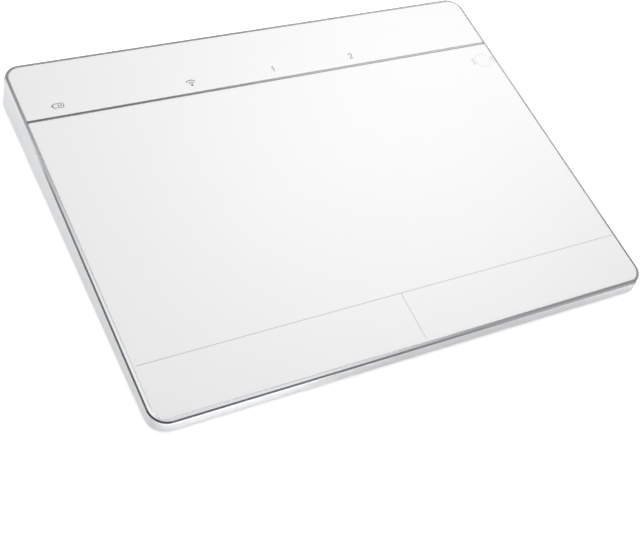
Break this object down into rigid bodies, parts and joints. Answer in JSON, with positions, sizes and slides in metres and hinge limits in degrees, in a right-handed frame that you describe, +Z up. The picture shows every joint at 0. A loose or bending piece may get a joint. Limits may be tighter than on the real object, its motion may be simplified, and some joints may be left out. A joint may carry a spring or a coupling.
{
  "type": "trackpad",
  "caption": "Flat wedge-shaped wireless touchpad: a metal frame, a glass touch plate hinged at its rear that clicks at its front, and a fixed glass status strip behind it",
  "frame": {"origin": "on the desk, under the middle of the case", "axes": "+X to the user's right, along the width; +Y to the rear, away from the user; +Z up"},
  "size_m": [0.165, 0.1254, 0.0121],
  "materials": {
    "frame": "milled, coated satin white, with a bright-cut chamfer",
    "white_glass": "white back-printed glass, satin top",
    "white_abs": "fine moulded texture",
    "foot_rubber": "matt",
    "screw_steel": "plated",
    "tape": "double-sided sheet",
    "board": "green solder mask",
    "stiffener": "stamped sheet, bare",
    "chip": "moulded epoxy",
    "connector": "moulded nylon",
    "switch_body": "moulded nylon",
    "dome": "gold flashed spring",
    "plunger": "moulded acetal",
    "hinge_steel": "zinc plated",
    "carrier": "dark moulded plastic",
    "light_guide": "clear acrylic",
    "led": "moulded resin",
    "can": "tinned sheet",
    "port_tongue": "moulded",
    "flex": "white polyester film",
    "trim": "drawn and polished",
    "pouch": "laminated pouch foil",
    "lead_red": "PVC sleeve",
    "lead_black": "PVC sleeve"
  },
  "bodies": {
    "housing": {"housing_frame": "frame", "status_strip": "white_glass", "base_plate": "white_abs", "foot_front_left": "foot_rubber", "foot_front_right": "foot_rubber", "foot_rear_left": "foot_rubber", "foot_rear_right": "foot_rubber", "base_screws": "screw_steel", "hinge_screws": "screw_steel", "carrier_screws": "screw_steel", "board_screws": "screw_steel", "strip_adhesive": "tape", "battery_pad": "tape", "main_board": "board", "battery_guard_board": "board", "main_controller": "chip", "radio_chip": "chip", "charging_chip": "chip", "charging_coil": "chip", "flex_socket_board": "connector", "battery_header": "connector", "battery_plug": "connector", "power_switch": "switch_body", "left_hinge_bracket": "hinge_steel", "right_hinge_bracket": "hinge_steel", "left_hinge_pin": "hinge_steel", "right_hinge_pin": "hinge_steel", "strip_carrier": "carrier", "light_guide_battery": "light_guide", "light_guide_wireless": "light_guide", "light_guide_channel_1": "light_guide", "light_guide_channel_2": "light_guide", "led_battery": "led", "led_wireless": "led", "led_channel_1": "led", "led_channel_2": "led", "chip_antenna": "led", "radio_shield": "can", "crystal": "can", "charging_port_shell": "can", "charging_port_tongue": "port_tongue", "flat_flex_cable": "flex", "trim_bead": "trim", "battery_cell": "pouch", "battery_lead_positive": "lead_red", "battery_lead_negative": "lead_black"},
    "touch_plate": {"touch_glass": "white_glass", "touch_adhesive": "tape", "touch_sensor_board": "board", "stiffener_plate": "stiffener", "touch_controller": "chip", "flex_socket_plate": "connector", "left_click_switch": "switch_body", "right_click_switch": "switch_body", "left_snap_dome": "dome", "right_snap_dome": "dome"},
    "left_click_plunger": {"left_plunger": "plunger"},
    "right_click_plunger": {"right_plunger": "plunger"},
    "power_slider": {"power_knob": "white_abs"}
  },
  "joints": [
    {"name": "plate_hinge", "type": "hinge", "parent": "housing", "child": "touch_plate", "pos_m": [0, 0.03623, 0.00633], "axis": [1, 0, 0], "range_deg": [0, 0.25], "stiffness_Nm_per_rad": 18, "springref_deg": -0.34},
    {"name": "left_plunger_slide", "type": "slide", "parent": "touch_plate", "child": "left_click_plunger", "axis": [0, -0.0523, 0.9986], "range_m": [0, 0.000376]},
    {"name": "right_plunger_slide", "type": "slide", "parent": "touch_plate", "child": "right_click_plunger", "axis": [0, -0.0523, 0.9986], "range_m": [0, 0.000376]},
    {"name": "power_slide", "type": "slide", "parent": "housing", "child": "power_slider", "axis": [1, 0, 0], "range_m": [0, 0.0025]}
  ],
  "couplings": [
    {"joint": "left_plunger_slide", "follows": "plate_hinge", "m_per_rad": 0.086118},
    {"joint": "right_plunger_slide", "follows": "plate_hinge", "m_per_rad": 0.086118}
  ]
}
